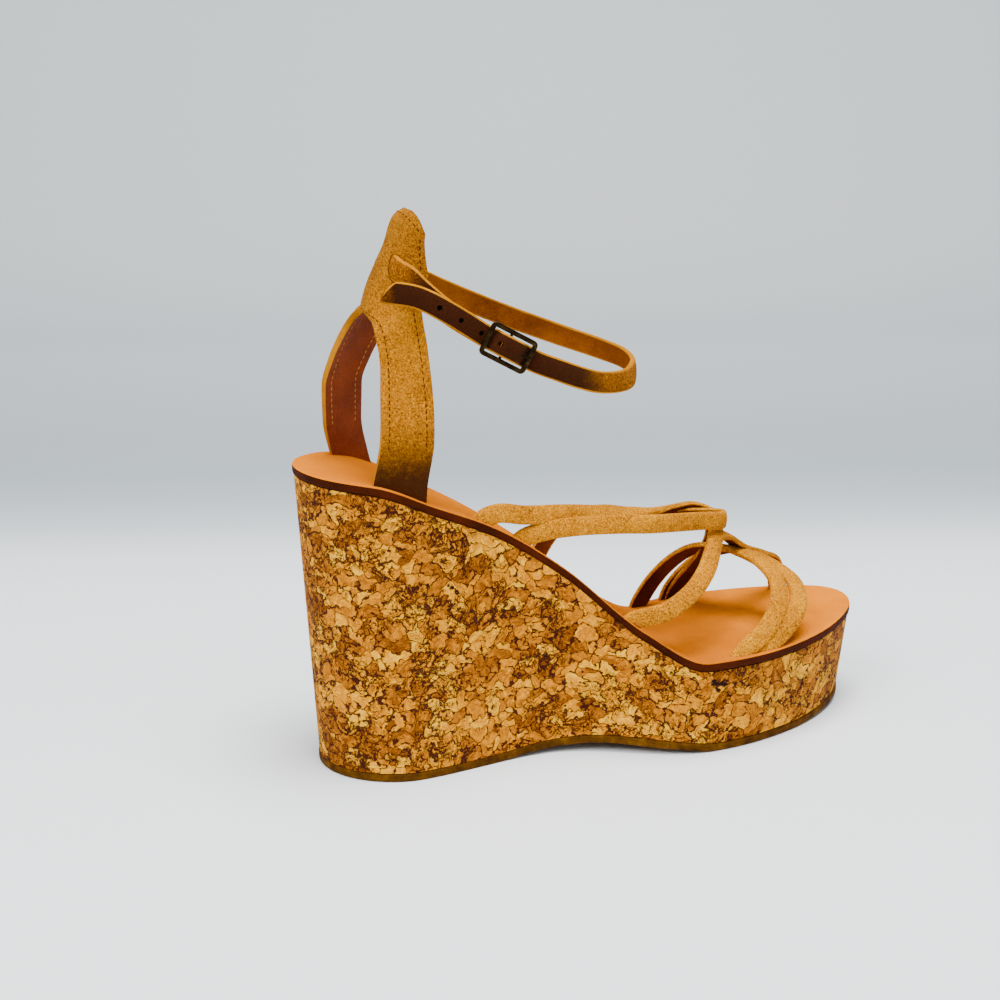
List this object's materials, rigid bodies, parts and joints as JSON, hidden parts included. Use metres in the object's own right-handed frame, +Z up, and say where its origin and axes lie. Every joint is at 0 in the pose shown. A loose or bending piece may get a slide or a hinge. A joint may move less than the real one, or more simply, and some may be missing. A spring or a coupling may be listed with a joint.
{
  "type": "platform wedge sandal",
  "caption": "Right platform wedge sandal: cork wedge, thin suede straps crossing over the forefoot, open heel counter and an ankle strap with a small buckle.",
  "frame": {"origin": "middle of the sandal's bounding box on the floor", "axes": "+X towards the toe, +Y towards the inner side of the foot, +Z up; the sandal stands on z = 0"},
  "size_m": [0.24, 0.085, 0.2167],
  "materials": {
    "cork": "agglomerated cork, matt, with dark seams between the chips",
    "rubber": "brown, matt",
    "footbed_leather": "smooth tan leather with a dark brown edge",
    "counter_suede": "camel suede, lined with smooth brown leather",
    "strap_suede": "camel suede with dark brown lining",
    "ankle_suede": "camel suede, darker and worn by the buckle",
    "buckle_brass": "dark antique",
    "prong_brass": "dark antique"
  },
  "bodies": {
    "root": {"cork_wedge": "cork", "outsole": "rubber", "insole": "footbed_leather", "heel_counter": "counter_suede", "vamp_straps": "strap_suede", "ankle_strap": "ankle_suede", "buckle_frame": "buckle_brass", "buckle_prong": "prong_brass"}
  },
  "joints": []
}
